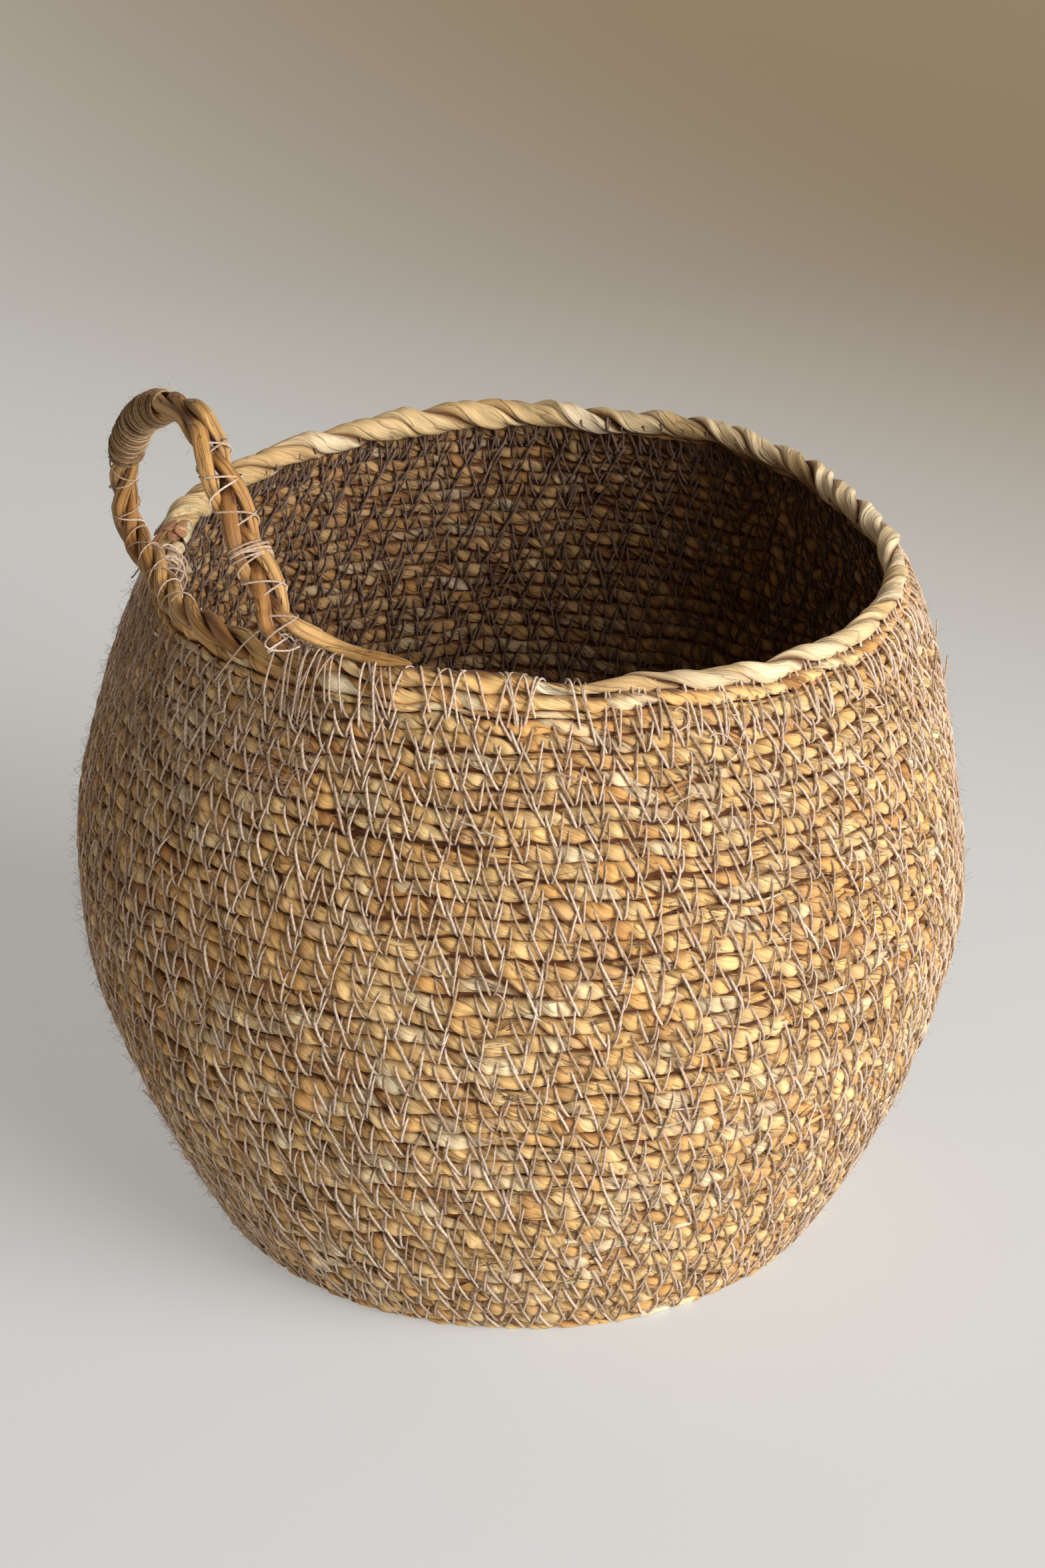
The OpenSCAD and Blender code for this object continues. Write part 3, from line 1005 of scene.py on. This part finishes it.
# The handle's rope comes from under the front foot, lies along the rim, and rises at the rear foot
HANDLE_ON_RIM = [
    by_rim(240, -0.001, 0.001),
    by_rim(227, 0.001, 0.001),
    by_rim(213, 0.003, 0.002),
    by_rim(200, 0.005, 0.003),
    by_rim(191, 0.007, 0.007),
]
HANDLE_MIDDLE = curve_through(HANDLE_ON_RIM + list(handle_plane(HANDLE_PATH)), 0.0012)
HANDLE_RUN = lengths(HANDLE_MIDDLE)
HANDLE_LENGTH = HANDLE_RUN[-1]
HANDLE_AHEAD = unit(np.gradient(HANDLE_MIDDLE, axis=0))
HANDLE_OVER = unit(np.cross(HANDLE_AHEAD, HANDLE_SIDE))
# 0 in the rear leg, which is twisted, and 1 in the front leg, which is plaited flat
HANDLE_FLAT = smooth(0.68, 0.78, HANDLE_RUN / HANDLE_LENGTH)
REAR_TWIST = 0.064
FRONT_PLAIT = 0.108
# Where each strand ends: two in points on the rim, and one laid along it
STRAND_ENDS = [
    [by_rim(232.5, 0.0085, 0.0105)],
    [by_rim(240, -0.001, 0.0115), by_rim(246, -0.002, 0.0095), by_rim(253, -0.001, 0.0075)],
    [by_rim(236.5, 0.003, 0.0125)],
]


STRAND_NODES = [
    ["handle_strand_a", "front_foot_tips"],
    ["handle_strand_b", "rim_splice_tail"],
    ["handle_strand_c"],
]


def handle_run_at(index):
    """Distance along the handle at one of its path's points."""
    point = handle_plane(HANDLE_PATH[index])
    return HANDLE_RUN[np.argmin(np.linalg.norm(HANDLE_MIDDLE - point, axis=1))]


def plait_angle(number):
    """How far one strand has come in the plait of the front leg."""
    return TAU * (HANDLE_RUN - HANDLE_LENGTH) / FRONT_PLAIT - TAU / 6 + TAU * number / 3


def handle_strand_line(number):
    """Middle of one strand: twisted in the rear leg, plaited flat in the front leg."""
    twist = TAU * HANDLE_RUN / REAR_TWIST + TAU * number / 3
    plait = plait_angle(number)
    start = smooth(0, 0.02, HANDLE_RUN)
    opening = 1 + 1.8 * smooth(0.05, 0.0, np.abs(HANDLE_RUN / HANDLE_LENGTH - 0.73))
    sideways = (1 - HANDLE_FLAT) * 0.0035 * np.cos(twist) + HANDLE_FLAT * 0.0059 * np.sin(plait)
    upwards = (1 - HANDLE_FLAT) * 0.0035 * np.sin(twist) + HANDLE_FLAT * 0.0018 * opening * np.sin(2 * plait)
    sideways = start * sideways + 0.0005 * wander(HANDLE_RUN, 0.03)
    line = HANDLE_MIDDLE + sideways[:, None] * HANDLE_SIDE + (start * upwards)[:, None] * HANDLE_OVER
    return curve_through(np.vstack([line[:-8:5]] + STRAND_ENDS[number]), 0.001)


def bend_at_rim(piece):
    """Bakes the piece's placement into its mesh."""
    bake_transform(piece)


def crease_strand(run, sides):
    """Folded blades, as a factor on a strand's radius, and its creases, 0 where they are deepest."""
    angle = TAU * np.arange(sides) / sides
    folds = 1 + 0.08 * np.cos(3 * angle + 2.5 * wander(run, 0.04)[:, None])
    creases = np.abs(np.sin(2.5 * angle + 2 * wander(run, 0.05)[:, None])) ** 0.5
    return folds * (0.9 + 0.12 * creases), creases


def make_handle(material, sides=26):
    """Three strands of folded blades, with creases along them. Each narrows to a point."""
    for number, replaced in enumerate(STRAND_NODES):
        line = handle_strand_line(number)
        run = lengths(line)
        relief, creases = crease_strand(run, sides)
        point = np.sqrt(np.clip((run[-1] - run) / 0.014, 0.01, 1))
        tail = 0.4 + 0.6 * smooth(0, 0.02, run)
        nearest = np.argmin(np.linalg.norm(line[:, None] - HANDLE_MIDDLE, axis=-1), axis=1)
        leaf = HANDLE_FLAT[nearest] * np.sin(2 * plait_angle(number)[nearest])
        radii = STRAND_R * 1.06 * (1 + 0.07 * wander(run, 0.018) + 0.14 * leaf) * point * tail
        rings = tubes(line[None], radii, HANDLE_SIDE, sides)
        rings = line[None, :, None] + (rings - line[None, :, None]) * relief[None, ..., None]
        depth = np.linalg.norm(rings[0] - HANDLE_MIDDLE[nearest][:, None], axis=-1)
        tints = lobe_tints(TAU * run / 0.07, run, HANDLE_COLOURS)[:, None]
        # Painted shade in the creases, and on each strand's side that faces the middle of the handle, where
        # the strands shade each other
        tints = tints * shaded(0.75 * (1 - smooth(0.2, 0.75, creases)), DEEP_SHADE)
        tints = tints * shaded(smooth(0.0052, 0.0026, depth), DEEP_SHADE)
        piece = Piece(replaced[0] + "_rope")
        piece.add(rings, tints[None], shift=2.9 * number)
        bend_at_rim(piece.build(material, None, "seagrass_handle", *replaced))


def along_handle(run, values):
    """Values of the handle's middle line, such as its points, at distances along it."""
    return np.stack([np.interp(run, HANDLE_RUN, values[:, k]) for k in range(3)], axis=-1)


def wrap_line(start, stop, pitch, half_side, half_over, phase=0.0, wobble=0.25):
    """A thread wound round the handle from one distance along it to another."""
    run = np.arange(start, stop, abs(pitch) / 22)
    turn = phase + TAU * (run - start) / pitch + wobble * wander(run, 0.01)
    over = along_handle(run, HANDLE_OVER)
    ahead = np.cross(over, HANDLE_SIDE)
    lean = 0.0016 * wander(run, abs(pitch) * 0.7)
    offset = half_side * np.cos(turn)[:, None] * HANDLE_SIDE + half_over * np.sin(turn)[:, None] * over
    return along_handle(run, HANDLE_MIDDLE) + offset + lean[:, None] * ahead


def add_wrap(piece, line, radius, colours):
    """Adds a thread along a line, which changes colour a little every patch of it."""
    run = lengths(line)
    patch = 0.03
    tints = pick(colours, int(run[-1] / patch) + 2)[(run / patch).astype(int)]
    piece.add(tubes(line[None], radius, HANDLE_AHEAD[0]), tints[None, :, None])


def make_whipping(material):
    """Brown jute wound close round the top of the rear leg, in rough layers that cross."""
    start, stop = handle_run_at(2) - 0.006, handle_run_at(4) + 0.002
    piece = Piece("handle_whipping_thread")
    layers = [0.0014, -0.0017, 0.0023, -0.0031, 0.0046, -0.0075]
    for number, pitch in enumerate(layers):
        grow = 0.0069 + 0.0003 * number
        line = wrap_line(start + 0.001 * number, stop - 0.002 * number, pitch, grow, grow, number, 2.0)
        add_wrap(piece, line, THREAD_R * 0.85, WHIPPING_COLOURS)
    bend_at_rim(piece.build(material, None, "jute_thread", "handle_whipping"))


def make_lacing(material):
    """Thread laced across the flat front leg, and tied round the twisted rear leg in open turns."""
    piece = Piece("handle_lacing_thread")
    start, stop = handle_run_at(6), handle_run_at(10) + 0.002
    for pitch, phase in ((0.0165, 0.0), (-0.0165, 2.2)):
        add_wrap(piece, wrap_line(start, stop, pitch, 0.0092, 0.0052, phase), THREAD_R * 0.9, JUTE_COLOURS)
    dense = handle_run_at(8) - 0.002
    add_wrap(piece, wrap_line(dense, dense + 0.007, 0.0017, 0.0094, 0.0054, 1.0), THREAD_R, JUTE_COLOURS)
    rear_start, rear_stop = handle_run_at(0) - 0.075, handle_run_at(2)
    for pitch, phase in ((0.015, 0.0), (-0.024, 1.0)):
        line = wrap_line(rear_start, rear_stop, pitch, 0.0067, 0.0067, phase, 0.8)
        add_wrap(piece, line, THREAD_R * 0.7, JUTE_COLOURS)
    bend_at_rim(piece.build(material, None, "jute_thread", "handle_lacing"))


def make_lashings(material):
    """Rough turns of thread over the rim that bind each foot of the handle down to it."""
    feet = [("rear_foot_lashing", 184, 193, 6), ("front_foot_lashing", 230, 245, 15)]
    for node, first, last, count in feet:
        piece = Piece(node + "_thread")
        for azimuth in np.linspace(first, last, count):
            inner = math.radians(azimuth + RNG.normal(0, 0.8))
            outer = inner + math.radians(RNG.normal(0, 4.5))
            drops = RNG.uniform([0.010, 0.007], [0.016, 0.021])
            line = over_rim(inner, outer, *drops, RNG.uniform(0.0055, 0.008), RNG.uniform(0.0075, 0.0125))
            add_threads(piece, line[None], THREAD_R * 0.95)
        piece.build(material, "basket", "jute_thread", node)


# ---------- Shreds, loose threads and fuzz ----------

HAIR_R = 0.00006


def wall_places(count, low=0.02):
    """Random azimuths, and heights from low up to the top of the wall."""
    return RNG.uniform(0, TAU, count), RNG.uniform(low, WALL_TOP, count)


def make_shreds(material, count=240):
    """Slips of seagrass that have come loose and lie along the outside of the wall."""
    piece = Piece("loose_shreds")
    azimuth, z = wall_places(count)
    share = np.linspace(0, 1, 9)
    reach = each(count, 0.005, 0.017)
    bow = each(count, -0.0009, 0.0009)
    off = each(count, 0.0, 0.0011)
    rise = near(count, 0, 0.0014)
    along = azimuth[:, None] + reach * share / BELLY_R
    height = z[:, None] + rise * share + bow * np.sin(math.pi * share)
    lines = at(along, wall_radius(height) + off * share**2, height)
    radii = each(count, 0.0004, 0.0015) * np.sin(math.pi * (0.12 + 0.84 * share)) ** 0.7
    tints = pick(GRASS_COLOURS, count, [0.2, 0.2, 0.15, 0.1, 0.25, 0.1])
    add_on_wall(piece, lines, radii, tints, 6, 0.2)
    piece.build(material, "basket", "seagrass_coil")


def make_fibres(material, sheaves=600, in_sheaf=6, steps=7):
    """Fine fibres that have split off the blades and lie across the grooves, in small sheaves."""
    count = sheaves * in_sheaf
    azimuth, z = (np.repeat(values, in_sheaf) for values in wall_places(sheaves, 0.008))
    side = np.repeat(np.where(RNG.random(sheaves) < 0.75, 1, -1), in_sheaf)[:, None]
    share = np.linspace(0, 1, steps)
    reach = each(count, 0.005, 0.016)
    slope = np.repeat(RNG.normal(-0.1, 0.25, sheaves), in_sheaf)[:, None] + near(count, 0, 0.12)
    bow = each(count, -0.0015, 0.0015)
    along = azimuth[:, None] + (each(count, -0.002, 0.002) + reach * share) / BELLY_R
    height = z[:, None] + slope * reach * share + bow * np.sin(math.pi * share)
    height = np.clip(height + near(count, 0, 0.0007), 0.002, WALL_TOP)
    off = each(count, -0.0006, 0.0004) + each(count, -0.0004, 0.0012) * share**2
    face = wall_radius(height) - (side < 0) * WALL_T
    lines = at(along, face + side * off, height)
    piece = Piece("grass_fibres")
    radii = each(count, 0.00010, 0.00024) * (1 - 0.7 * share)
    add_on_wall(piece, lines, radii, pick(FIBRE_COLOURS, count, [0.5, 0.3, 0.2]), 3)
    piece.build(material, "basket", "seagrass_coil")


def curly_lines(azimuth, z, reach, curl, steps=14):
    """Short wandering lines just off the outside of the wall."""
    count = len(azimuth)
    heading = each(count, 0, TAU) + curl * np.cumsum(RNG.normal(0, 0.4, (count, steps)), axis=1)
    step = reach[:, None] / steps
    along = np.cumsum(np.cos(heading) * step, axis=1)
    rise = np.cumsum(np.sin(heading) * step, axis=1)
    height = np.clip(z[:, None] + rise, 0.002, RIM_TOP)
    share = np.linspace(0, 1, steps)
    off = each(count, 0.0005, 0.004) * share + 0.0007
    return at(azimuth[:, None] + along / BELLY_R, wall_radius(height) + off, height)


def make_loose_threads(material, count=90):
    """Ends of jute thread left by the sewer, most of them under the rim."""
    azimuth, z = wall_places(count)
    z = np.where(RNG.random(count) < 0.6, WALL_TOP - RNG.uniform(0, 0.05, count), z)
    lines = curly_lines(azimuth, z, RNG.uniform(0.008, 0.03, count), 1.0)
    piece = Piece("loose_threads")
    add_threads(piece, lines, THREAD_R * 0.7)
    piece.build(material, "basket", "jute_thread")


def make_fuzz(material, count=5200, steps=7):
    """Fine hairs that stand off the jute, thickest on the handle's side of the basket."""
    azimuth, z = wall_places(count, 0.004)
    azimuth = np.where(RNG.random(count) < 0.5, np.radians(205) + RNG.normal(0, 0.6, count), azimuth)
    under_handle = RNG.random(count) < 0.25
    azimuth = np.where(under_handle, RNG.uniform(REAR_FOOT, FRONT_FOOT + 0.1, count), azimuth)
    z = np.where(under_handle, WALL_TOP - RNG.uniform(0, 0.045, count), z)
    lines = curly_lines(azimuth, z, RNG.uniform(0.003, 0.0085, count), 1.3, steps)
    stand = each(count, 0, 0.0026) * np.linspace(0, 1, steps) ** 1.5
    lines = lines + outward(azimuth)[:, None] * stand[..., None]
    piece = Piece("jute_fuzz")
    add_on_wall(piece, lines, HAIR_R, pick(JUTE_COLOURS, count), 3)
    piece.build(material, "basket", "jute_thread")


def make_handle_fuzz(material, count=330, steps=6):
    """Hairs on the whipping, and fewer along the rest of the handle."""
    place = np.where(
        RNG.random(count) < 0.7,
        RNG.uniform(handle_run_at(2) - 0.01, handle_run_at(4), count),
        RNG.uniform(handle_run_at(0), handle_run_at(10), count),
    )
    index = np.searchsorted(HANDLE_RUN, place)
    angle = each(count, 0, TAU)
    away = np.cos(angle) * HANDLE_SIDE + np.sin(angle) * HANDLE_OVER[index]
    lean = unit(away + RNG.normal(0, 0.9, (count, 3)))
    share = np.linspace(0, 1, steps)[:, None]
    reach = RNG.uniform(0.0015, 0.0045, (count, 1, 1))
    curl = RNG.normal(0, 0.25, (count, 1, 3)) * np.sin(2.5 * share)
    lines = (HANDLE_MIDDLE[index] + 0.0075 * away)[:, None] + reach * (lean[:, None] * share + curl)
    piece = Piece("handle_fuzz")
    tints = pick(JUTE_COLOURS * 0.85, count)[:, None, None]
    piece.add(tubes(lines, HAIR_R, away[:, None], 3), tints, shift=RNG.uniform(0, 9, count))
    bend_at_rim(piece.build(material, None, "jute_thread"))


# ---------- Floor and light ----------

# Painted light: the paper glows a little, as paper that is lit from below would
FLOOR_GLOW = 0.60
# The paper is level up to a bend, and then goes straight up
BEND_R = 1.2
BEND_STEPS = 24
PAPER_BACK = 2.6
PAPER_REACH = 6.0
PAPER_HALF_WIDTH = 7.0


def paper_material():
    """Pale studio paper, with painted shade that darkens it towards the back right, and a painted glow."""
    material, tree, shader = new_material("studio_paper")
    place = add_node(tree, "ShaderNodeNewGeometry").outputs["Position"]
    away = add_node(tree, "ShaderNodeVectorMath", {0: place, 1: (0.95, 1.05, 0.0)}, operation="DOT_PRODUCT")
    share = remap(tree, away.outputs["Value"], 0.45, 2.2, 0.0, 1.0)
    # Painted shade: the paper's colour darkens from front left to back right
    ramp = add_node(tree, "ShaderNodeValToRGB", {"Fac": share})
    ramp.color_ramp.interpolation = "EASE"
    ramp.color_ramp.elements[0].color = (*linear(0.725, 0.73, 0.725), 1)
    ramp.color_ramp.elements[1].color = (*linear(0.50, 0.445, 0.36), 1)
    tree.links.new(ramp.outputs["Color"], shader.inputs["Base Color"])
    # Painted light: the paper glows in its own colour
    tree.links.new(ramp.outputs["Color"], shader.inputs["Emission Color"])
    shader.inputs["Emission Strength"].default_value = FLOOR_GLOW
    shader.inputs["Roughness"].default_value = 0.9
    return material


def make_floor():
    """One sheet of paper under and behind the basket."""
    outline = [(-PAPER_REACH, 0.0)]
    for angle in np.linspace(0, math.pi / 2, BEND_STEPS + 1):
        outline.append((PAPER_BACK - BEND_R + BEND_R * math.sin(angle), BEND_R * (1 - math.cos(angle))))
    outline.append((PAPER_BACK, PAPER_REACH))
    points = [(x, y, z) for y, z in outline for x in (-PAPER_HALF_WIDTH, PAPER_HALF_WIDTH)]
    faces = [(2 * i, 2 * i + 1, 2 * i + 3, 2 * i + 2) for i in range(len(outline) - 1)]
    mesh = bpy.data.meshes.new("studio_floor")
    mesh.from_pydata(points, [], faces)
    mesh.polygons.foreach_set("use_smooth", [True] * len(faces))
    mesh.materials.append(paper_material())
    floor = bpy.data.objects.new("studio_floor", mesh)
    bpy.context.scene.collection.objects.link(floor)


def make_light(name, place, aim, size, power, colour):
    data = bpy.data.lights.new(name, "AREA")
    data.size = size
    data.energy = power
    data.color = colour
    light = bpy.data.objects.new(name, data)
    light.location = place
    x, y, z = np.array(aim) - np.array(place)
    light.rotation_euler = (math.atan2(math.hypot(x, y), -z), 0, math.atan2(y, x) - math.pi / 2)
    bpy.context.scene.collection.objects.link(light)


def make_lights():
    make_light("key_light", (3.0, -2.5, 1.80), (0, 0, 0.15), 3.3, 268, (0.985, 0.985, 1.0))
    world = bpy.data.worlds.new("studio")
    world.use_nodes = True
    background = world.node_tree.nodes["Background"]
    background.inputs["Color"].default_value = (*linear(0.90, 0.81, 0.70), 1)
    background.inputs["Strength"].default_value = 0.19
    bpy.context.scene.world = world
    bpy.context.scene.view_settings.view_transform = "Standard"


make_camera()
make_floor()
make_lights()
coil_grass = grass_material("coil_seagrass", 1.0, 0.6, 2, 0.32)
rim_grass = grass_material("rim_seagrass", 1.4, 0.55, 3, 0.6)
handle_grass = grass_material("handle_seagrass", 1.0, 0.5, 3, 0.35)
jute = jute_material("jute")
thread_dents = Dents()
make_wall_stitches(jute, thread_dents)
make_rim_stitches(jute, thread_dents)
thread_dents.soften()
make_base(coil_grass)
make_wall(coil_grass, thread_dents)
make_rim(rim_grass)
make_rim_turns(coil_grass)
make_cut_ends(rim_grass)
make_handle(handle_grass)
make_whipping(jute)
make_lacing(jute)
make_lashings(jute)
make_shreds(coil_grass)
make_fibres(coil_grass)
make_loose_threads(jute)
make_fuzz(jute)
make_handle_fuzz(jute)
